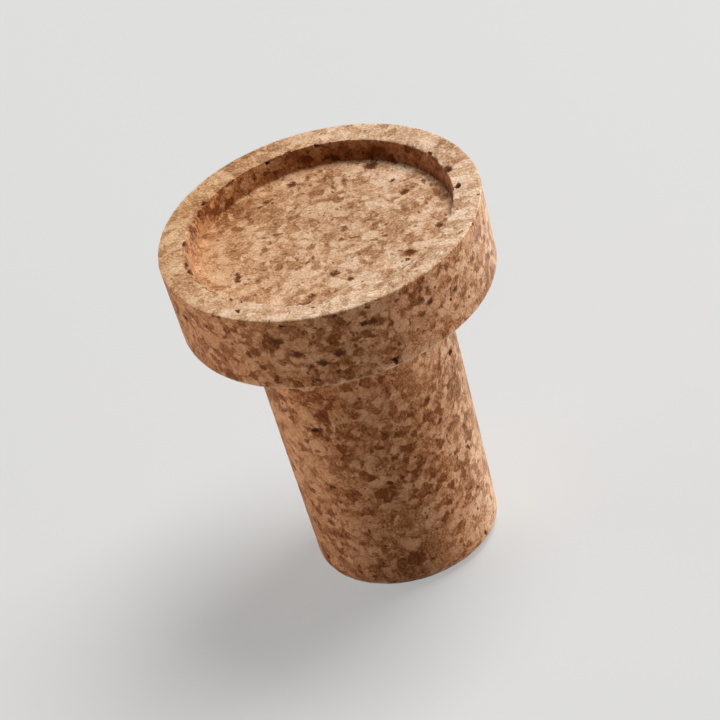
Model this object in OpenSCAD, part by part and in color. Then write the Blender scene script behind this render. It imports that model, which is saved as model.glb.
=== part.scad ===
// Bottle stopper turned in one piece from agglomerated cork.
// It stands on the free end of its plug, with the head on top.
// The origin is the centre of the plug's free end.

/* [Head] */
// Diameter across the head's top edge
head_d = 31; // [26:0.5:40]
// Thickness of the head
head_h = 8.2; // [6:0.1:14]
// How much narrower the head is across its lower edge
head_draft = 0.7; // [0:0.1:2]
// Radius of the head's top edge
top_edge_r = 0.2; // [0.1:0.1:1]
// Radius of the head's lower edge
low_edge_r = 0.4; // [0.1:0.1:1.5]

/* [Recess] */
// Width of the flat rim round the recess, on each side
rim_w = 2.7; // [2:0.1:5]
// Depth of the recess below the rim
recess_depth = 2.2; // [1:0.1:4]
// How much narrower the recess is across its floor
recess_draft = 0.8; // [0:0.1:2]
// Radius of the lip between the rim and the recess
lip_r = 0.1; // [0.05:0.05:0.6]
// Radius of the fillet round the recess's floor
floor_r = 0.2; // [0.1:0.1:0.9]

/* [Plug] */
// Inner diameter of the bottle's mouth
bore_d = 18.5; // [16:0.5:22]
// How much wider than the bore the plug is where it meets the head
grip = 0.8; // [0:0.1:1.5]
// How much narrower than the bore the plug is at its free end
lead_in = 1; // [0.3:0.1:3]
// Length of the plug below the head
plug_len = 29; // [15:1:40]
// Radius of the fillet between the plug and the head
neck_r = 0.6; // [0.1:0.1:1.5]
// Radius of the plug's end
nose_r = 1.5; // [0.2:0.1:3]

/* [Hidden] */

// Facets round the turned form
$fn = 180;
// How far a cutting tool runs past the surfaces that it meets
overrun = 0.1;
// How far a rounded corner bites into its sides, so that it crosses them and doesn't just touch
bite = 0.0005;

total_h = plug_len + head_h;
recess_d = head_d - 2 * rim_w;

// Corners of the turned section: [radius, height]
end_centre = [0, 0];
nose = [(bore_d - lead_in) / 2, 0];
neck = [(bore_d + grip) / 2, plug_len];
low_edge = [(head_d - head_draft) / 2, plug_len];
top_edge = [head_d / 2, total_h];
lip = [recess_d / 2, total_h];
floor_edge = [(recess_d - recess_draft) / 2, total_h - recess_depth];
floor_centre = [0, total_h - recess_depth];

// Direction from one point to another, as a vector of length 1
function towards(from, to) = (to - from) / norm(to - from);

// Point that lies a distance beyond the second of two points, on their line
function beyond(from, to, distance) = to + towards(from, to) * distance;

// What lies between a corner and an arc of radius r that touches both its sides.
// Cut away, it leaves the corner round.
module corner_tool(before, corner, after, r) {
    side_a = towards(corner, before);
    side_b = towards(corner, after);
    half_angle = acos(side_a * side_b) / 2;
    reach = r / tan(half_angle);
    arc_centre = corner + towards([0, 0], side_a + side_b) * r / sin(half_angle);
    kite = [arc_centre, corner + side_a * reach, corner, corner + side_b * reach];
    translate(arc_centre) difference() {
        polygon([for (point = kite) (point - arc_centre) * (r + overrun) / r]);
        circle(r + bite);
    }
}

// What is turned away beside the plug. Its round corner leaves the fillet at the neck.
module plug_tool() {
    clear_r = head_d / 2 + overrun;
    difference() {
        polygon([
            beyond(neck, nose, overrun),
            neck,
            [clear_r, plug_len],
            [clear_r, -overrun],
        ]);
        corner_tool(nose, neck, low_edge, neck_r);
    }
}

// What is turned out of the top. Its round corner leaves the fillet at the floor.
module recess_tool() {
    difference() {
        polygon([
            floor_centre,
            floor_edge,
            beyond(floor_edge, lip, overrun),
            [0, total_h + overrun],
        ]);
        corner_tool(lip, floor_edge, floor_centre, floor_r);
    }
}

// Half section of the stopper, right of its axis, as the lathe leaves it
module section() {
    difference() {
        polygon([end_centre, [low_edge.x, 0], low_edge, top_edge, [0, total_h]]);
        plug_tool();
        recess_tool();
        corner_tool(end_centre, nose, neck, nose_r);
        corner_tool(neck, low_edge, top_edge, low_edge_r);
        corner_tool(low_edge, top_edge, lip, top_edge_r);
        corner_tool(top_edge, lip, floor_edge, lip_r);
    }
}

module stopper() {
    color("burlywood") rotate_extrude() section();
}

stopper();
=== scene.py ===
"""Dressed model of a bottle stopper turned from agglomerated cork, laid out as an add-on and run as a script.

Lengths are in metres, in the frame of the CAD model: the stopper stands on the free end of its plug, with its
axis on Z and the recessed face of its head on top. The front is towards -Y.
"""

import math

import bpy
import numpy as np
from bpy.props import FloatProperty, FloatVectorProperty, IntProperty, PointerProperty
from mathutils import Matrix, Vector


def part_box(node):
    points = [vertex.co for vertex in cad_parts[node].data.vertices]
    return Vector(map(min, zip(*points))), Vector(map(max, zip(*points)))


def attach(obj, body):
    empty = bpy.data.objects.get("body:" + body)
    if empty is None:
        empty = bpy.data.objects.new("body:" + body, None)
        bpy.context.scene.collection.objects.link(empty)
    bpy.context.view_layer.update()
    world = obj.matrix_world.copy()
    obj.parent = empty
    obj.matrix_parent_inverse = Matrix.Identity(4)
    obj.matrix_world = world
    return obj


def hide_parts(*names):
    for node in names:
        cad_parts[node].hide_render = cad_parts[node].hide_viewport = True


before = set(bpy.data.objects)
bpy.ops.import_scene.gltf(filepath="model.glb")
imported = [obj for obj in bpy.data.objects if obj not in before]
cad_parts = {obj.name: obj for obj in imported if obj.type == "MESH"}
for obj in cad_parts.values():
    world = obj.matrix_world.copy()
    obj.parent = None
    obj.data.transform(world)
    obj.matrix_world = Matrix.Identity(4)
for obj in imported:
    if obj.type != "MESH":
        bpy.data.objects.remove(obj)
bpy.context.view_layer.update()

bl_info = {
    "name": "Cork bottle stopper",
    "version": (1, 0, 0),
    "blender": (4, 5, 0),
    "location": "View3D > Sidebar > Stopper",
    "description": "Builds a bottle stopper of agglomerated cork and the studio round it",
    "category": "Add Mesh",
}

MM = 0.001
NODE = "stopper"
STOPPER_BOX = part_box(NODE)
HEIGHT = STOPPER_BOX[1].z - STOPPER_BOX[0].z

# Each arc of the outline is split into at least this many steps
ARC_STEPS = 4
# The direction in which the columns of the turned surface begin: that of a corner of the disc grid
FIRST_COLUMN = -math.pi / 4

# How much of a surface's outward direction is on Z: to the first it is a turned side, past the second a face
SIDE_TILT, FACE_TILT = 0.3, 0.8
# The hole mark on sound cork, which is 0 on the edge of a hole and 1 in its middle
SOUND = -1.0
# Over which share of its width a torn hole falls to its depth, and a granule to its own height
HOLE_SLOPE, GRANULE_SLOPE = 0.3, 0.2
# The lip begins to be worn where a soft noise from -1 to 1 passes the first, and is worn most past the second
WORN_FROM, WORN_TO = -0.3, 0.5
# How far round to the right the sides face where the painted highlight begins, and where it would be
# whole: 1 is straight right
HIGHLIGHT_FROM, HIGHLIGHT_TO = 0.4, 1.05

# Size of the bends in the granules' outlines, and how far they reach
BEND_SIZE, BEND_REACH = 0.6 * MM, 0.5 * MM
# Typical width of the small granules, and how far each granule's tone runs into its neighbours', from 0 to 1
SMALL_GRANULE, TONE_RUN = 0.7 * MM, 0.6
# The direction in which the tints drift, and between which places along it
DRIFT_WAY, DRIFT_FROM, DRIFT_TO = (0.9, -0.45, 0.0), -14 * MM, 5 * MM
# How far the bump of the finest relief stands out
BUMP_HEIGHT = 0.08 * MM

# How far the lamps stand from the stopper
LAMP_REACH = 0.9
# Mesh squares across the floor, and how far from the stopper it begins and ends passing into the backdrop
FLOOR_SQUARES, FADE_FROM, FADE_TO = 24, 0.15, 0.7
# Share of the backdrop's even tone in what the camera sees of the floor close to the stopper
EVEN_TONE = 0.5
# The camera aims at this share of the stopper's height
AIM = 0.56

# Sockets of a Mix node that has several of the same name
SHARE, COLOUR_A, COLOUR_B, COLOUR_OUT = 0, 6, 7, 2
WHITE = (1.0, 1.0, 1.0, 1.0)


def linear(hex_colour):
    """Linear colour with full alpha from an sRGB hex value, by the sRGB curve."""
    srgb = np.array([int(hex_colour[at : at + 2], 16) for at in (1, 3, 5)]) / 255
    flat, curved = srgb / 12.92, ((srgb + 0.055) / 1.055) ** 2.4
    return (*np.where(srgb <= 0.04045, flat, curved).tolist(), 1.0)


def length(name, description, default):
    """A property that holds a length in metres."""
    return FloatProperty(name=name, description=description, default=default, unit="LENGTH", precision=5)


def share(name, description, default):
    """A property that holds a share of the whole, from 0 to 1."""
    return FloatProperty(name=name, description=description, default=default, min=0, max=1, subtype="FACTOR")


def power(name, description, default):
    """A property that holds a lamp's power in watts."""
    return FloatProperty(name=name, description=description, default=default, min=0, unit="POWER")


def colour(name, description, hex_colour):
    """A property that holds a colour, given as an sRGB hex value."""
    return FloatVectorProperty(
        name=name, description=description, default=linear(hex_colour), size=4, min=0, max=1, subtype="COLOR"
    )


class StopperSizes(bpy.types.PropertyGroup):
    """Sizes of the turned form, the same as in the CAD model, and how finely its surface is divided."""

    head_width: length("Head width", "Diameter across the head's top edge", 31 * MM)
    head_thickness: length("Head thickness", "From the rim down to the head's underside", 8.2 * MM)
    head_draft: length("Head draft", "How much narrower the head is across its lower edge", 0.7 * MM)
    top_edge: length("Top edge", "Radius of the head's top edge", 0.2 * MM)
    low_edge: length("Low edge", "Radius of the head's lower edge", 0.4 * MM)
    rim_width: length("Rim width", "Width of the flat rim round the recess", 2.7 * MM)
    recess_depth: length("Recess depth", "Depth of the recess below the rim", 2.2 * MM)
    recess_draft: length("Recess draft", "How much narrower the recess is across its floor", 0.8 * MM)
    lip: length("Lip", "Radius of the lip between the rim and the recess", 0.1 * MM)
    floor_edge: length("Floor edge", "Radius of the fillet round the recess's floor", 0.2 * MM)
    neck_width: length("Neck width", "Diameter of the plug where it meets the head", 19.3 * MM)
    end_width: length("End width", "Diameter of the plug at its free end", 17.5 * MM)
    neck: length("Neck", "Radius of the fillet between the plug and the head", 0.6 * MM)
    nose: length("Nose", "Radius of the plug's end", 1.5 * MM)
    edge_step: length("Edge step", "Longest mesh edge along an arc", 0.1 * MM)
    head_step: length("Head step", "Longest mesh edge down the head", 0.17 * MM)
    plug_step: length("Plug step", "Longest mesh edge along the plug and under the head", 0.3 * MM)
    squares: IntProperty(name="Squares", description="Mesh squares across each round face", default=88, min=8)


class CorkGrain(bpy.types.PropertyGroup):
    """Sizes of the granules and of what was torn out between them."""

    granule: length("Granule", "Typical width of a granule", 1.5 * MM)
    relief: length("Relief", "How far one granule stands below another", 0.03 * MM)
    pluck_width: length("Pluck width", "Typical width of a granule that was torn out", 0.8 * MM)
    pluck_depth: length("Pluck depth", "Depth of the hole where a granule was torn out", 0.22 * MM)
    pluck_face: share("Plucked on faces", "Share of the granules torn out of the flat faces", 0.002)
    pluck_side: share("Plucked on sides", "Share of the granules torn out of the turned sides", 0.015)
    pluck_edge: share("Plucked on edges", "Further share torn out at the head's edges", 0.015)
    pluck_lip: share("Plucked on lip", "Further share torn out at the recess's lip", 0.18)
    lip_wear: length("Lip wear", "How far the recess's lip is worn back where it is worn most", 0.15 * MM)
    edge_reach: length("Edge reach", "How far from an edge granules tear out more easily", 0.45 * MM)
    rim_coarse: share("Rim coarseness", "How coarsely the rim was cut, against 1 on the turned sides", 0.3)
    recess_coarse: share("Recess coarseness", "How coarsely the recess was cut, against 1 on the sides", 0.6)
    recess_flecked: share("Recess flecks", "How many flecks show in the recess, against 1 on the sides", 0.9)
    # Painted highlight: the head's lower edge is kept clear of the sides' painted shade, so it shows as a
    # pale line
    highlighted: share("Sanded edge", "How far the head's lower edge was sanded as pale as a face", 0.5)
    wander: length("Wander", "How far the outlines of the granules wander", 0.25 * MM)
    seed: IntProperty(name="Seed", description="Picks one piece of cork", default=7, min=0)


class CorkColours(bpy.types.PropertyGroup):
    """Colours of the cork."""

    pale: colour("Pale granule", "Lightest granules", "#EFD6BD")
    middle: colour("Middle granule", "Most granules", "#D5AE8B")
    deep: colour("Deep granule", "Darkest granules", "#8E5F3B")
    amber: colour("Amber granule", "Small granules of inner bark", "#895C3B")
    seam: colour("Seam", "Binder and shade in the seams between granules", "#8A5C38")
    bark: colour("Bark", "Flecks of bark and cut lenticels", "#6B3B20")
    hollow: colour("Hollow", "Inside the holes between granules", "#47220E")
    # Painted shade: makes the turned sides darker and redder than the flat faces
    side_shade_tint: colour("Side tint", "Multiplies the tones of the turned sides", "#ECC6A9")
    # Painted highlight: a paler tint on the turned sides that face the right, where the light falls
    highlight_tint: colour("Bleached tint", "Multiplies them where light has bleached them", "#E8D5C4")
    floor_tint: colour("Floor tint", "Multiplies the tones of the recess's floor", "#FFF6EE")
    # Painted shade: the recess's wall runs from the first tint at the left to the darker second at the right
    wall_left: colour("Wall tint, left", "Multiplies the tones of the recess's wall, left", "#FFE4C8")
    wall_shade_right: colour("Wall tint, right", "Multiplies the tones of the recess's wall, right", "#B78864")
    left_tint: colour("Left tint", "Multiplies the tones furthest left, all over", "#EAD8BE")


class StudioSetup(bpy.types.PropertyGroup):
    """Camera, lamps and floor."""

    elevation: FloatProperty(
        name="Elevation",
        description="Height of the view above level",
        default=math.radians(33.2),
        subtype="ANGLE",
    )
    roll: FloatProperty(
        name="Roll",
        description="Lean of the stopper in the view, to the left",
        default=math.radians(16.4),
        subtype="ANGLE",
    )
    distance: length("Distance", "From the middle of the head's top to the camera", 650 * MM)
    focal: FloatProperty(
        name="Focal length",
        description="Focal length of the camera in mm",
        default=350.0,
        subtype="DISTANCE_CAMERA",
    )
    floor_width: length("Floor width", "Diameter of the floor", 6.0)
    floor_paint: colour("Floor paint", "Matt paint of the floor", "#D4D4D3")
    backdrop: colour("Backdrop", "What the camera sees past the floor", "#DEDEDD")
    sky: FloatProperty(
        name="Sky",
        description="Strength of the plain light from all round",
        default=0.03,
        min=0,
    )
    key: power("Key", "Power of the high lamp behind on the right", 8.9)
    right: power("Right", "Power of the low lamp on the right", 8.1)
    left: power("Left", "Power of the low lamp on the left", 6.2)


# Torn spots and dark granules that show on this stopper, and on the recess's wall soft stains that are
# partly painted shade. Each group has the depth of a spot's middle, where that of a torn hole is 1. On the
# recess's floor: x, y and width in mm.
FLOOR_SPOT_DEPTH = 0.5
FLOOR_SPOTS = (
    (6.1, 9.9, 1.32),
    (-1.5, 10.6, 0.97),
    (3.3, 8.8, 0.65),
    (7.6, 6.4, 0.56),
    (8.4, 4.0, 0.89),
    (10.6, -3.1, 0.82),
    (7.3, -6.1, 1.13),
    (6.8, -7.1, 0.56),
    (0.0, -5.9, 0.97),
    (1.3, -7.5, 0.65),
    (-2.6, -8.4, 0.73),
    (-8.7, -1.5, 0.65),
    (-8.7, -2.1, 0.65),
    (-8.8, -2.6, 0.56),
    (-4.3, 8.9, 0.65),
)
# On the rim: x, y and width in mm
RIM_SPOT_DEPTH = 1.0
RIM_SPOTS = (
    (12.8, 2.2, 1.1),
    (14.8, -3.3, 0.4),
    (-2.8, -13.6, 0.35),
)
# On the head's side: degrees from the front to the right, mm below the rim, width and height in mm
SIDE_SPOT_DEPTH = 0.5
SIDE_SPOTS = (
    (4.6, 2.1, 0.9, 0.7),
    (8.3, 2.2, 0.9, 0.8),
    (7.4, 0.5, 0.6, 0.4),
    (-4.0, 0.4, 0.6, 0.4),
    (-26.5, 2.4, 1.5, 0.8),
    (-20.5, 4.0, 1.3, 0.6),
    (-6.0, 4.6, 1.1, 0.9),
    (-12.5, 5.3, 1.2, 0.7),
    (-17.0, 5.6, 0.8, 0.5),
    (0.0, 4.2, 0.5, 0.5),
    (41.8, 4.0, 0.7, 0.6),
    (38.8, 4.6, 0.4, 0.4),
    (14.8, 5.8, 0.4, 0.6),
    (-8.0, 6.6, 0.5, 0.5),
    (30.0, 3.2, 0.9, 0.6),
    (18.0, 1.1, 0.6, 0.4),
)
# On the recess's wall, in the same measures: soft stains, partly of bark and partly painted shade on the
# left of the wall
WALL_STAIN_DEPTH = 0.1
WALL_STAINS_AND_SHADE = (
    (-113.0, 0.9, 1.5, 0.7),
    (-99.0, 0.5, 1.2, 0.4),
    (-88.0, 0.4, 1.2, 0.3),
)


def path_corners(sizes):
    """The corners of the turned section from the recess's centre to the plug's end.

    Each is its radius, its height, the radius that rounds it and the mesh step along the straight after it.
    The first and last lie on the axis.
    """
    seat = HEIGHT - sizes.head_thickness
    recess = sizes.head_width / 2 - sizes.rim_width
    floor = HEIGHT - sizes.recess_depth
    return (
        (0.0, floor, 0.0, sizes.head_step),
        (recess - sizes.recess_draft / 2, floor, sizes.floor_edge, sizes.head_step),
        (recess, HEIGHT, sizes.lip, sizes.head_step),
        (sizes.head_width / 2, HEIGHT, sizes.top_edge, sizes.head_step),
        ((sizes.head_width - sizes.head_draft) / 2, seat, sizes.low_edge, sizes.plug_step),
        (sizes.neck_width / 2, seat, sizes.neck, sizes.plug_step),
        (sizes.end_width / 2, 0.0, sizes.nose, sizes.plug_step),
        (0.0, 0.0, 0.0, sizes.plug_step),
    )


def turned_outline(corners, edge_step):
    """Points (radius, height) from the edge of the recess's flat floor to the edge of the plug's flat end.

    Each corner is replaced by the arc that touches both its sides: it starts at the tangent length, which is
    the radius over the tangent of half the corner's angle, and turns about a centre on the bisector. Arcs and
    straights are split into equal steps no longer than asked, and an arc into at least ARC_STEPS.
    """
    points = []
    for before, corner, after in zip(corners, corners[1:], corners[2:]):
        here, radius = np.array(corner[:2]), corner[2]
        sides = [np.array(end[:2]) - here for end in (before, after)]
        sides = [side / np.linalg.norm(side) for side in sides]
        half = math.acos(sides[0] @ sides[1]) / 2
        bisector = (sides[0] + sides[1]) / np.linalg.norm(sides[0] + sides[1])
        centre = here + bisector * radius / math.sin(half)
        spokes = [here + side * radius / math.tan(half) - centre for side in sides]
        swept = math.pi - 2 * half
        steps = max(ARC_STEPS, math.ceil(swept * radius / edge_step))
        turns = np.linspace(0, 1, steps + 1)[:, None]
        arc = np.sin((1 - turns) * swept) * spokes[0] + np.sin(turns * swept) * spokes[1]
        arc = centre + arc / math.sin(swept)
        if points:
            straight = arc[0] - points[-1][-1]
            pieces = math.ceil(np.linalg.norm(straight) / before[3])
            points.append(points[-1][-1] + straight * np.linspace(0, 1, pieces + 1)[1:-1, None])
        points.append(arc)
    return np.concatenate(points)


def outline_normals(outline):
    """Outward directions along the outline: its tangent turned a quarter turn to the left."""
    tangent = np.gradient(outline, axis=0)
    tangent /= np.linalg.norm(tangent, axis=1, keepdims=True)
    return np.stack([-tangent[:, 1], tangent[:, 0]], axis=1)


def revolved(outline, columns):
    """Positions of the outline turned about Z: (r cos t, r sin t, z), as rows by columns by 3."""
    turn = FIRST_COLUMN + np.arange(columns) * 2 * math.pi / columns
    radius, height = outline[:, :1], outline[:, 1:]
    return np.stack(np.broadcast_arrays(radius * np.cos(turn), radius * np.sin(turn), height), axis=-1)


def disc_grid(squares):
    """A square grid of points carried onto a disc of radius 1, as (squares + 1) by (squares + 1) by 2.

    The concentric map: a point's radius is the larger of |a| and |b|, and its angle grows evenly along each
    side of its square, so the rim has four times as many even steps as the grid has squares.
    """
    a, b = np.meshgrid(*[np.linspace(-1, 1, squares + 1)] * 2, indexing="ij")
    wide = np.abs(a) >= np.abs(b)
    radius = np.where(wide, a, b)
    ratio = np.where(wide, b, a) / np.where(radius == 0, 1, radius)
    eighth = ratio * math.pi / 4
    turn = np.where(wide, eighth, math.pi / 2 - eighth)
    return np.stack([radius * np.cos(turn), radius * np.sin(turn)], axis=-1)


def quads(index):
    """The corners of the quads between the neighbouring entries of a grid of vertex numbers."""
    return np.stack([index[:-1, :-1], index[1:, :-1], index[1:, 1:], index[:-1, 1:]], axis=-1).reshape(-1, 4)


def stopper_grid(sizes):
    """Points, outward directions and quads of the whole turned surface, closed by a disc grid at each end."""
    outline = turned_outline(path_corners(sizes), sizes.edge_step)
    columns = 4 * sizes.squares
    band = revolved(outline, columns)
    facing = revolved(outline_normals(outline), columns)
    number = np.arange(len(outline) * columns).reshape(len(outline), columns)
    points, normals = [band.reshape(-1, 3)], [facing.reshape(-1, 3)]
    faces = [quads(np.concatenate([number, number[:, :1]], axis=1))]
    disc = disc_grid(sizes.squares)
    on_rim = np.hypot(disc[..., 0], disc[..., 1]) > 1 - 0.5 / sizes.squares
    turn = np.arctan2(disc[..., 1], disc[..., 0]) - FIRST_COLUMN
    column = np.rint(turn * columns / (2 * math.pi)).astype(int) % columns
    for row, up in ((0, 1.0), (len(outline) - 1, -1.0)):
        index = number[row][column]
        start = sum(len(part) for part in points)
        index[~on_rim] = start + np.arange((~on_rim).sum())
        inner = disc[~on_rim] * outline[row, 0]
        points.append(np.column_stack([inner, np.full(len(inner), outline[row, 1])]))
        normals.append(np.tile([0.0, 0.0, up], (len(inner), 1)))
        faces.append(quads(index if up > 0 else index.T))
    return np.concatenate(points), np.concatenate(normals), np.concatenate(faces)


def soft_noise(points, size, seed):
    """Smooth random numbers from -1 to 1.

    One number is drawn for each corner of a cubic lattice, and the eight round a point are blended with
    3t² - 2t³ along each side.
    """
    low = points.min(axis=0)
    cells = np.ceil(np.ptp(points, axis=0) / size).astype(int)
    lattice = np.random.default_rng(seed).uniform(-1, 1, cells + 2)
    at = (points - low) / size
    cell = at.astype(int)
    along = at - cell
    along = along * along * (3 - 2 * along)
    total = np.zeros(len(points))
    for corner in np.ndindex(2, 2, 2):
        weight = np.where(corner, along, 1 - along).prod(axis=1)
        total += weight * lattice[tuple((cell + corner).T)]
    return total


def granules(points, size, seed):
    """Jittered-grid cells, as granules pressed together.

    Each cube of the grid holds one centre placed at random in it, and a point belongs to the nearest. Returns
    how much nearer that centre is than the next, over the size, which is 0 on an outline, and the random
    number of the granule.
    """
    low = points.min(axis=0) - size
    cells = np.ceil(np.ptp(points, axis=0) / size).astype(int)
    drawn = np.random.default_rng(seed).random((*(cells + 4), 4))
    at = (points - low) / size
    cell = at.astype(int)
    nearest, second, number = np.full(len(at), np.inf), np.full(len(at), np.inf), np.zeros(len(at))
    for step in np.ndindex(3, 3, 3):
        near = cell + step - 1
        centre = drawn[tuple(near.T)]
        gap = np.linalg.norm(near + centre[:, :3] - at, axis=1)
        closer = gap < nearest
        second = np.where(closer, nearest, np.minimum(second, gap))
        number = np.where(closer, centre[:, 3], number)
        nearest = np.minimum(nearest, gap)
    return second - nearest, number


def smoothstep(value, low, high):
    """0 below low, 1 above high, and 3t² - 2t³ between."""
    t = np.clip((value - low) / (high - low), 0, 1)
    return t * t * (3 - 2 * t)


def placed_spots(points, sizes):
    """How deep each point lies in the listed spots: most in a spot's middle and 0 on its edge.

    It goes on falling outside the edge, so that the edge stays in its place between the mesh's points.
    """
    floor = HEIGHT - sizes.recess_depth
    spots = [(x * MM, y * MM, floor, w * MM, w * MM, FLOOR_SPOT_DEPTH) for x, y, w in FLOOR_SPOTS]
    spots += [(x * MM, y * MM, HEIGHT, w * MM, w * MM, RIM_SPOT_DEPTH) for x, y, w in RIM_SPOTS]
    half = sizes.head_width / 2
    recess = half - sizes.rim_width
    for group, top, taper, deepest in (
        (SIDE_SPOTS, half, sizes.head_draft / sizes.head_thickness, SIDE_SPOT_DEPTH),
        (WALL_STAINS_AND_SHADE, recess, sizes.recess_draft / sizes.recess_depth, WALL_STAIN_DEPTH),
    ):
        for turn, below, width, tall in group:
            radius = top - taper / 2 * below * MM
            x, y = radius * math.sin(math.radians(turn)), -radius * math.cos(math.radians(turn))
            spots.append((x, y, HEIGHT - below * MM, width * MM, tall * MM, deepest))
    inside = np.full(len(points), SOUND)
    for x, y, z, width, tall, deepest in spots:
        across = np.hypot(points[:, 0] - x, points[:, 1] - y) / (width / 2)
        inside = np.maximum(inside, deepest * (1 - np.hypot(across, (points[:, 2] - z) / (tall / 2))))
    return inside


def worn(points, normals, sizes, grain):
    """How far each point lies below the turned surface, and its marks for the material.

    hole is 1 in the middle of a hole, 0 on its edge and less on sound cork. side is 1 on the turned sides and
    0 on the flat faces, and less at the head's lower edge, which so keeps less of the sides' painted shade.
    recess is 1 inside the recess and 0 elsewhere. coarse says how roughly the surface was cut, flecked how
    many flecks of bark show, and highlit how far round to the right a point lies, which lays a painted
    highlight on the sides, all from 0 to 1.
    """
    # Each random draw has a seed of its own, counted on from the one that picks the piece of cork
    bent = points + grain.wander * np.stack(
        [soft_noise(points, grain.pluck_width, grain.seed + axis) for axis in range(3)], axis=1
    )
    around = np.hypot(points[:, 0], points[:, 1])
    half = sizes.head_width / 2
    recess_radius = half - sizes.rim_width
    lip, top_edge, low_edge = [
        np.exp(-((np.hypot(around - radius, points[:, 2] - height) / grain.edge_reach) ** 2))
        for radius, height in (
            (recess_radius, HEIGHT),
            (half, HEIGHT),
            (half - sizes.head_draft / 2, HEIGHT - sizes.head_thickness),
        )
    ]
    side = 1 - smoothstep(np.abs(normals[:, 2]), SIDE_TILT, FACE_TILT)
    plucked = grain.pluck_face * (1 - side) + grain.pluck_side * side
    plucked += grain.pluck_lip * lip + grain.pluck_edge * (top_edge + low_edge)
    # Painted highlight: near the head's lower edge the sides' painted shade is lifted, so the edge shows pale
    side *= 1 - grain.highlighted * low_edge
    inner, number = granules(bent, grain.pluck_width, grain.seed + 6)
    hole = np.where(number < plucked, inner / HOLE_SLOPE - number / plucked, SOUND)
    hole = np.maximum(np.minimum(hole, 1), placed_spots(points, sizes))
    inner, number = granules(bent, grain.granule, grain.seed + 4)
    depth = grain.relief * number * smoothstep(inner, 0.0, GRANULE_SLOPE)
    depth += grain.pluck_depth * np.maximum(hole, 0)
    wear = soft_noise(points, grain.pluck_width, grain.seed + 5)
    depth += grain.lip_wear * lip * smoothstep(wear, WORN_FROM, WORN_TO)
    above_floor = points[:, 2] > HEIGHT - sizes.recess_depth - grain.relief
    recess = (around < recess_radius) & above_floor
    recess = recess * smoothstep(HEIGHT - points[:, 2], 0.0, 2 * sizes.lip)
    coarse = np.maximum(side, grain.rim_coarse + (grain.recess_coarse - grain.rim_coarse) * recess)
    flecked = np.maximum(coarse, grain.recess_flecked * recess)
    # A painted highlight: the sides are tinted paler the further round to the right they face
    # The least radius only keeps the division off the axis
    highlit = smoothstep(points[:, 0] / np.maximum(around, sizes.lip), HIGHLIGHT_FROM, HIGHLIGHT_TO)
    return depth, {
        "hole": hole,
        "side": side,
        "recess": recess,
        "coarse": coarse,
        "flecked": flecked,
        "highlit": highlit,
    }


def put(tree, kind, sockets=None, **settings):
    """Adds a node, gives it its settings, and fills each input, by name or number, with a value or a link."""
    node = tree.nodes.new(kind)
    for name, value in settings.items():
        setattr(node, name, value)
    for socket, value in (sockets or {}).items():
        if isinstance(value, bpy.types.NodeSocket):
            tree.links.new(value, node.inputs[socket])
        else:
            node.inputs[socket].default_value = value
    return node


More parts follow.
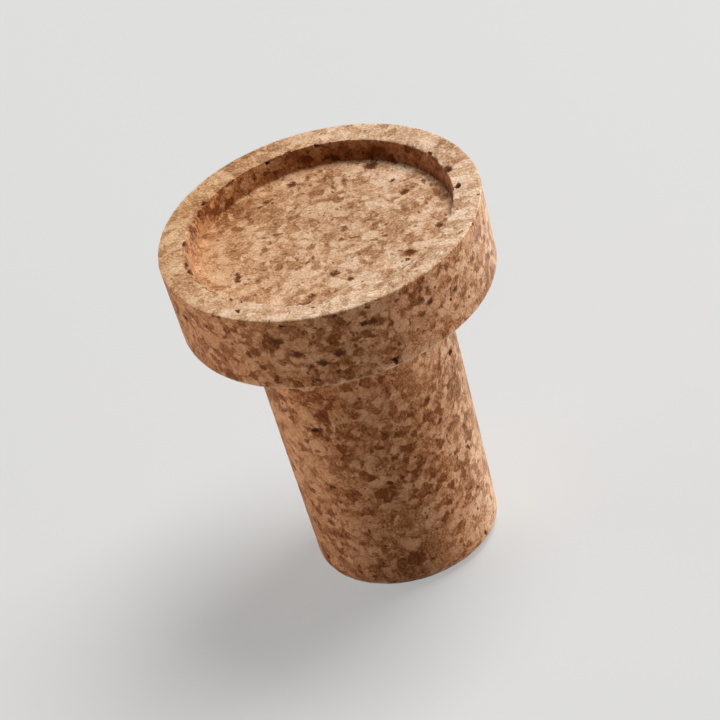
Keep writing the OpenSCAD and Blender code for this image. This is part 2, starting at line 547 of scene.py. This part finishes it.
def agglomerated_cork(grain, colours):
    """Agglomerated cork, moulded from granules and ground to shape.

    To the eye it is matt, with tightly packed granules of many tan tones, reddish slivers of inner bark and
    dark flecks of bark among them, and small dark holes where a granule or its soft core was torn out.
    """
    material = bpy.data.materials.new("agglomerated_cork_ground")
    material.use_nodes = True
    tree = material.node_tree
    tree.nodes.clear()
    place = put(tree, "ShaderNodeTexCoord").outputs["Object"]
    hole, side, recess, coarse, flecked, highlit = [
        put(tree, "ShaderNodeAttribute", attribute_name=mark).outputs["Fac"]
        for mark in ("hole", "side", "recess", "coarse", "flecked", "highlit")
    ]

    # Granules have ragged outlines: places are bent by a noise, less its average of 0.5, before the cells are
    # looked up
    bend = put(tree, "ShaderNodeTexNoise", {"Vector": place, "Scale": 1 / BEND_SIZE, "Detail": 4.0})
    bend = put(
        tree,
        "ShaderNodeVectorMath",
        {0: bend.outputs["Color"], 1: (0.5, 0.5, 0.5)},
        operation="SUBTRACT",
    )
    bent = put(
        tree,
        "ShaderNodeVectorMath",
        {0: bend.outputs[0], 1: (BEND_REACH, BEND_REACH, BEND_REACH), 2: place},
        operation="MULTIPLY_ADD",
    ).outputs[0]

    # Large and small granules, each with a random tone that runs a little into its neighbours', as thin ones
    # let those below show through; about a quarter of the large ones give way to small ones
    draws = [
        put(
            tree,
            "ShaderNodeSeparateColor",
            {
                0: put(
                    tree,
                    "ShaderNodeTexVoronoi",
                    {"Vector": bent, "Scale": 1 / size, "Smoothness": TONE_RUN},
                    feature="SMOOTH_F1",
                ).outputs["Color"]
            },
        )
        for size in (grain.granule, SMALL_GRANULE)
    ]
    crushed = put(
        tree, "ShaderNodeMapRange", {"Value": draws[0].outputs[1], "From Min": 0.22, "From Max": 0.32}
    ).outputs[0]
    tone = put(tree, "ShaderNodeMix", {0: crushed, 2: draws[0].outputs[0], 3: draws[1].outputs[0]}).outputs[0]

    # Growth lines inside each granule, turned its own way and drawn out along it, and the noises that the
    # rest reads. Each has its place, its size in mm, its detail and its roughness.
    large = put(tree, "ShaderNodeTexVoronoi", {"Vector": bent, "Scale": 1 / grain.granule})
    spun = put(
        tree,
        "ShaderNodeVectorMath",
        {0: large.outputs["Color"], "Scale": 2 * math.pi},
        operation="SCALE",
    )
    turned = put(
        tree,
        "ShaderNodeVectorRotate",
        {"Vector": place, "Rotation": spun.outputs[0]},
        rotation_type="EULER_XYZ",
    )
    grown = put(tree, "ShaderNodeMapping", {"Vector": turned.outputs[0], "Scale": (1.0, 0.4, 1.0)}).outputs[0]
    lines, fine, ragged, broad = [
        put(
            tree,
            "ShaderNodeTexNoise",
            {"Vector": where, "Scale": 1 / (size * MM), "Detail": detail, "Roughness": rough},
        ).outputs[0]
        for where, size, detail, rough in (
            (grown, 0.28, 2.0, 0.5),
            (place, 0.2, 3.0, 0.7),
            (place, 0.35, 3.0, 0.6),
            (place, 5.0, 1.0, 0.5),
        )
    ]

    # Where the cut is coarse the tones lie further apart. The noises are added to the granules' tones by
    # weight, and as each is 0.5 on average, the middle tone is 2.5.
    spread = put(tree, "ShaderNodeMapRange", {"Value": coarse, "To Min": 0.5, "To Max": 1.55}).outputs[0]
    tone = put(tree, "ShaderNodeMix", {0: spread, 2: 0.5, 3: tone}, clamp_factor=False).outputs[0]
    for noise, weight in ((lines, 1.5), (fine, 1.2), (broad, 1.3)):
        tone = put(
            tree, "ShaderNodeMath", {0: noise, 1: weight, 2: tone}, operation="MULTIPLY_ADD"
        ).outputs[0]
    base = colours.deep
    for low, high, tint in ((1.7, 2.5, colours.middle), (2.4, 3.15, colours.pale)):
        step = put(tree, "ShaderNodeMapRange", {"Value": tone, "From Min": low, "From Max": high}).outputs[0]
        base = put(
            tree, "ShaderNodeMix", {SHARE: step, COLOUR_A: base, COLOUR_B: tint}, data_type="RGBA"
        ).outputs[COLOUR_OUT]

    # Seams between granules, here open and dark, there closed and hardly seen
    seam = put(
        tree, "ShaderNodeTexVoronoi", {"Vector": bent, "Scale": 1 / grain.granule}, feature="DISTANCE_TO_EDGE"
    )
    seam_width = put(
        tree,
        "ShaderNodeMapRange",
        {"Value": broad, "From Min": 0.35, "From Max": 0.7, "To Min": 0.01, "To Max": 0.1},
    ).outputs[0]
    seam = put(
        tree,
        "ShaderNodeMapRange",
        {"Value": seam.outputs["Distance"], "From Max": seam_width, "To Min": 1.0, "To Max": 0.0},
        interpolation_type="SMOOTHSTEP",
    ).outputs[0]
    seam_share = put(tree, "ShaderNodeMapRange", {"Value": coarse, "To Min": 0.05, "To Max": 0.3}).outputs[0]
    seam_share = put(tree, "ShaderNodeMath", {0: seam, 1: seam_share}, operation="MULTIPLY").outputs[0]
    base = put(
        tree, "ShaderNodeMix", {SHARE: seam_share, COLOUR_A: base, COLOUR_B: colours.seam}, data_type="RGBA"
    ).outputs[COLOUR_OUT]

    # Slivers of inner bark and bark lie along each granule's growth. Each kind takes a few cells of its own
    # grid: the size of its cells in mm, the share of them on the finest and on the coarsest cut, and its
    # colour.
    for size, rare, often, tint in (
        (0.45, 0.03, 0.2, colours.amber),
        (0.9, -0.08, 0.18, colours.amber),
        (0.4, -0.02, 0.12, colours.bark),
        (0.8, -0.08, 0.12, colours.bark),
    ):
        cell = put(tree, "ShaderNodeTexVoronoi", {"Vector": grown, "Scale": 1 / (size * MM)})
        draw = put(tree, "ShaderNodeSeparateColor", {0: cell.outputs["Color"]}).outputs[0]
        few = put(tree, "ShaderNodeMapRange", {"Value": flecked, "To Min": rare, "To Max": often}).outputs[0]
        few = put(tree, "ShaderNodeMath", {0: few, 1: 0.0001}, operation="MAXIMUM").outputs[0]
        reach = put(
            tree,
            "ShaderNodeMapRange",
            {"Value": draw, "From Max": few, "To Min": 0.95, "To Max": 0.35},
            clamp=False,
        ).outputs[0]
        gap = put(tree, "ShaderNodeMath", {0: ragged, 1: cell.outputs["Distance"]}, operation="ADD")
        over = put(tree, "ShaderNodeMath", {0: reach, 1: gap.outputs[0]}, operation="SUBTRACT").outputs[0]
        over = put(
            tree,
            "ShaderNodeMapRange",
            {"Value": over, "From Min": -0.15, "From Max": 0.15, "To Max": 0.8},
            interpolation_type="SMOOTHSTEP",
        ).outputs[0]
        base = put(
            tree, "ShaderNodeMix", {SHARE: over, COLOUR_A: base, COLOUR_B: tint}, data_type="RGBA"
        ).outputs[COLOUR_OUT]

    # A fine mottle over all of it, then the tints: the recess was cut coarser than the rim, so its floor is a
    # little browner. The turned sides were cut coarser still, and are tinted darker and redder, a painted
    # shade, and paler where they face the right, a painted highlight. The recess's wall is tinted darker
    # towards the right, a painted shade, and all the cork grows more orange towards the left.
    mottle = put(
        tree,
        "ShaderNodeMapRange",
        {"Value": fine, "From Min": 0.3, "From Max": 0.7, "To Min": 0.78, "To Max": 1.2},
    ).outputs[0]
    across = put(tree, "ShaderNodeVectorMath", {0: place, 1: DRIFT_WAY}, operation="DOT_PRODUCT")
    drift = put(
        tree,
        "ShaderNodeMapRange",
        {"Value": across.outputs["Value"], "From Min": DRIFT_FROM, "From Max": DRIFT_TO},
    ).outputs[0]
    face = put(
        tree,
        "ShaderNodeMix",
        {SHARE: recess, COLOUR_A: WHITE, COLOUR_B: colours.floor_tint},
        data_type="RGBA",
    ).outputs[COLOUR_OUT]
    # Painted shade: the recess's wall is tinted darker towards the right
    wall = put(
        tree,
        "ShaderNodeMix",
        {SHARE: drift, COLOUR_A: colours.wall_left, COLOUR_B: colours.wall_shade_right},
        data_type="RGBA",
    ).outputs[COLOUR_OUT]
    # The sides' painted shade, turned paler where they face the right: a painted highlight
    outside = put(
        tree,
        "ShaderNodeMix",
        {SHARE: highlit, COLOUR_A: colours.side_shade_tint, COLOUR_B: colours.highlight_tint},
        data_type="RGBA",
    ).outputs[COLOUR_OUT]
    turned = put(
        tree, "ShaderNodeMix", {SHARE: recess, COLOUR_A: outside, COLOUR_B: wall}, data_type="RGBA"
    ).outputs[COLOUR_OUT]
    cut = put(tree, "ShaderNodeMix", {SHARE: side, COLOUR_A: face, COLOUR_B: turned}, data_type="RGBA")
    drift = put(
        tree,
        "ShaderNodeMix",
        {SHARE: drift, COLOUR_A: colours.left_tint, COLOUR_B: WHITE},
        data_type="RGBA",
    )
    for tint in (mottle, cut.outputs[COLOUR_OUT], drift.outputs[COLOUR_OUT]):
        base = put(
            tree,
            "ShaderNodeMix",
            {SHARE: 1.0, COLOUR_A: base, COLOUR_B: tint},
            data_type="RGBA",
            blend_type="MULTIPLY",
        ).outputs[COLOUR_OUT]

    # Holes, with their outline made ragged by a noise: brown walls round a dark middle
    torn = put(tree, "ShaderNodeMath", {0: ragged, 1: 1.2, 2: hole}, operation="MULTIPLY_ADD").outputs[0]
    for low, high, tint in ((0.4, 0.8, colours.bark), (0.8, 1.5, colours.hollow)):
        step = put(
            tree,
            "ShaderNodeMapRange",
            {"Value": torn, "From Min": low, "From Max": high},
            interpolation_type="SMOOTHSTEP",
        ).outputs[0]
        base = put(
            tree, "ShaderNodeMix", {SHARE: step, COLOUR_A: base, COLOUR_B: tint}, data_type="RGBA"
        ).outputs[COLOUR_OUT]

    # Relief: each granule at its own height, seams sunk, growth lines, and a fine tooth all over
    height = put(
        tree, "ShaderNodeMath", {0: draws[0].outputs[0], 1: 0.5, 2: fine}, operation="MULTIPLY_ADD"
    ).outputs[0]
    for part, weight in ((lines, 0.4), (seam, -0.2)):
        height = put(
            tree, "ShaderNodeMath", {0: part, 1: weight, 2: height}, operation="MULTIPLY_ADD"
        ).outputs[0]
    bump = put(tree, "ShaderNodeBump", {"Height": height, "Distance": BUMP_HEIGHT, "Strength": 1.0})

    # Dense dark granules are a little rougher than pale ones, and the loose cell walls give a low, warm sheen
    rough = put(
        tree,
        "ShaderNodeMapRange",
        {"Value": tone, "From Min": 1.8, "From Max": 3.2, "To Min": 0.9, "To Max": 0.72},
    ).outputs[0]
    shader = put(
        tree,
        "ShaderNodeBsdfPrincipled",
        {
            "Base Color": base,
            "Roughness": rough,
            "Normal": bump.outputs[0],
            "IOR": 1.5,
            "Specular IOR Level": 0.06,
            "Sheen Weight": 0.5,
            "Sheen Roughness": 0.3,
            "Sheen Tint": (1.0, 0.88, 0.76, 1.0),
        },
    )
    put(tree, "ShaderNodeOutputMaterial", {"Surface": shader.outputs[0]})
    return material


def painted_floor(studio):
    """Matt paint on a smooth board, which far from the stopper passes into the backdrop and shows no edge.

    Part of what the camera sees is the backdrop's even tone, which softens the shadow.
    """
    material = bpy.data.materials.new("matt_paint_sprayed")
    material.use_nodes = True
    tree = material.node_tree
    tree.nodes.clear()
    place = put(tree, "ShaderNodeTexCoord").outputs["Object"]
    away = put(tree, "ShaderNodeVectorMath", {0: place}, operation="LENGTH").outputs["Value"]
    far = put(
        tree,
        "ShaderNodeMapRange",
        {"Value": away, "From Min": FADE_FROM, "From Max": FADE_TO},
        interpolation_type="SMOOTHSTEP",
    ).outputs[0]
    seen = put(tree, "ShaderNodeLightPath").outputs["Is Camera Ray"]
    paint = put(tree, "ShaderNodeBsdfDiffuse", {"Color": studio.floor_paint})
    glow = put(tree, "ShaderNodeEmission", {"Color": studio.backdrop, "Strength": 1.0})
    even = put(tree, "ShaderNodeMapRange", {"Value": far, "To Min": EVEN_TONE, "To Max": 1.0}).outputs[0]
    even = put(tree, "ShaderNodeMath", {0: even, 1: seen}, operation="MULTIPLY").outputs[0]
    mixed = put(tree, "ShaderNodeMixShader", {0: even, 1: paint.outputs[0], 2: glow.outputs[0]})
    put(tree, "ShaderNodeOutputMaterial", {"Surface": mixed.outputs[0]})
    return material


def write_mesh(name, points, faces, marks=None):
    """A mesh object of quads at the origin, smooth, with its marks kept as vertex attributes."""
    mesh = bpy.data.meshes.new(name)
    mesh.vertices.add(len(points))
    mesh.vertices.foreach_set("co", points.astype(np.float32).ravel())
    mesh.loops.add(faces.size)
    mesh.loops.foreach_set("vertex_index", faces.astype(np.int32).ravel())
    mesh.polygons.add(len(faces))
    mesh.polygons.foreach_set("loop_start", np.arange(0, faces.size, 4, dtype=np.int32))
    mesh.polygons.foreach_set("use_smooth", np.ones(len(faces), bool))
    for mark, values in (marks or {}).items():
        mesh.attributes.new(mark, "FLOAT", "POINT").data.foreach_set("value", values.astype(np.float32))
    mesh.update(calc_edges=True)
    if mesh.validate():
        raise RuntimeError(f"{name} has faces that Blender had to repair")
    piece = bpy.data.objects.new(name, mesh)
    bpy.context.scene.collection.objects.link(piece)
    return piece


class STOPPER_OT_cork_body(bpy.types.Operator):
    """Builds the one-piece cork stopper with its granules, holes and finish"""

    bl_idname = "stopper.cork_body"
    bl_label = "Build Cork Stopper"

    def execute(self, context):
        sizes, grain = context.scene.stopper_sizes, context.scene.stopper_grain
        points, normals, faces = stopper_grid(sizes)
        depth, marks = worn(points, normals, sizes, grain)
        piece = write_mesh("stopper_cork", points - normals * depth[:, None], faces, marks)
        piece.data.materials.append(agglomerated_cork(grain, context.scene.stopper_colours))
        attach(piece, "root")
        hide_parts(NODE)
        return {"FINISHED"}


def soft_lamp(name, turn, elevation, width, height, watts):
    """A soft box turned to the stopper, by its angles in degrees: from the front to the right, and up."""
    aim = Vector((0, 0, HEIGHT / 2))
    turn, elevation = math.radians(turn), math.radians(elevation)
    level = math.cos(elevation)
    away = LAMP_REACH * Vector((level * math.sin(turn), -level * math.cos(turn), math.sin(elevation)))
    lamp = bpy.data.lights.new(name, "AREA")
    lamp.shape = "RECTANGLE"
    lamp.size = width
    lamp.size_y = height
    lamp.energy = watts
    held = bpy.data.objects.new(name, lamp)
    held.location = aim + away
    held.rotation_euler = (-away).to_track_quat("-Z", "Y").to_euler()
    held.visible_camera = False
    bpy.context.scene.collection.objects.link(held)


class STOPPER_OT_studio(bpy.types.Operator):
    """Sets up the pale floor, the soft lamps and the camera"""

    bl_idname = "stopper.studio"
    bl_label = "Set Up Studio"

    def execute(self, context):
        scene, studio = context.scene, context.scene.stopper_studio
        disc = disc_grid(FLOOR_SQUARES) * studio.floor_width / 2
        flat = np.concatenate([disc, np.zeros((*disc.shape[:2], 1))], axis=-1).reshape(-1, 3)
        floor = write_mesh("studio_floor", flat, quads(np.arange(len(flat)).reshape(disc.shape[:2])))
        floor.data.materials.append(painted_floor(studio))

        soft_lamp("lamp_key", turn=120, elevation=65, width=0.5, height=0.5, watts=studio.key)
        soft_lamp("lamp_right", turn=108, elevation=6, width=0.9, height=0.2, watts=studio.right)
        soft_lamp("lamp_left", turn=-105, elevation=5, width=0.9, height=0.12, watts=studio.left)

        world = scene.world or bpy.data.worlds.new("studio_air")
        scene.world = world
        world.use_nodes = True
        tree = world.node_tree
        tree.nodes.clear()
        light_path = put(tree, "ShaderNodeLightPath")
        seen = put(
            tree,
            "ShaderNodeMath",
            {0: light_path.outputs["Is Camera Ray"], 1: light_path.outputs["Is Glossy Ray"]},
            operation="MAXIMUM",
        )
        air = put(tree, "ShaderNodeBackground", {"Color": studio.backdrop, "Strength": studio.sky})
        backdrop = put(tree, "ShaderNodeBackground", {"Color": studio.backdrop, "Strength": 1.0})
        mixed = put(
            tree, "ShaderNodeMixShader", {0: seen.outputs[0], 1: air.outputs[0], 2: backdrop.outputs[0]}
        )
        put(tree, "ShaderNodeOutputWorld", {"Surface": mixed.outputs[0]})
        scene.view_settings.view_transform = "Standard"

        # The camera stands in front of the head and above it, looks at the stopper's middle and leans
        camera = bpy.data.cameras.new("studio_camera")
        camera.lens = studio.focal
        camera.clip_start = 0.01
        camera.clip_end = 10
        head = Vector((0, 0, HEIGHT))
        eye = head + studio.distance * Vector((0, -math.cos(studio.elevation), math.sin(studio.elevation)))
        turn = (Vector((0, 0, AIM * HEIGHT)) - eye).to_track_quat("-Z", "Y").to_matrix().to_4x4()
        holder = bpy.data.objects.new("studio_camera", camera)
        holder.matrix_world = Matrix.Translation(eye) @ turn @ Matrix.Rotation(-studio.roll, 4, "Z")
        scene.collection.objects.link(holder)
        scene.camera = holder
        return {"FINISHED"}


class STOPPER_PT_panel(bpy.types.Panel):
    """Lists the steps that build the stopper"""

    bl_label = "Stopper"
    bl_idname = "STOPPER_PT_panel"
    bl_space_type = "VIEW_3D"
    bl_region_type = "UI"
    bl_category = "Stopper"

    def draw(self, context):
        for step in STEPS:
            self.layout.operator(step.bl_idname)
        for group in GROUPS:
            box = self.layout.box()
            settings = getattr(context.scene, group)
            for name in settings.bl_rna.properties.keys():
                if name not in ("rna_type", "name"):
                    box.prop(settings, name)


STEPS = (STOPPER_OT_cork_body, STOPPER_OT_studio)
GROUPS = {
    "stopper_sizes": StopperSizes,
    "stopper_grain": CorkGrain,
    "stopper_colours": CorkColours,
    "stopper_studio": StudioSetup,
}


def register():
    for made in (*GROUPS.values(), *STEPS, STOPPER_PT_panel):
        bpy.utils.register_class(made)
    for name, group in GROUPS.items():
        setattr(bpy.types.Scene, name, PointerProperty(type=group))


def unregister():
    for name in GROUPS:
        delattr(bpy.types.Scene, name)
    for made in reversed((*GROUPS.values(), *STEPS, STOPPER_PT_panel)):
        bpy.utils.unregister_class(made)


def main():
    register()
    bpy.ops.stopper.cork_body()
    bpy.ops.stopper.studio()


if __name__ == "__main__":
    main()
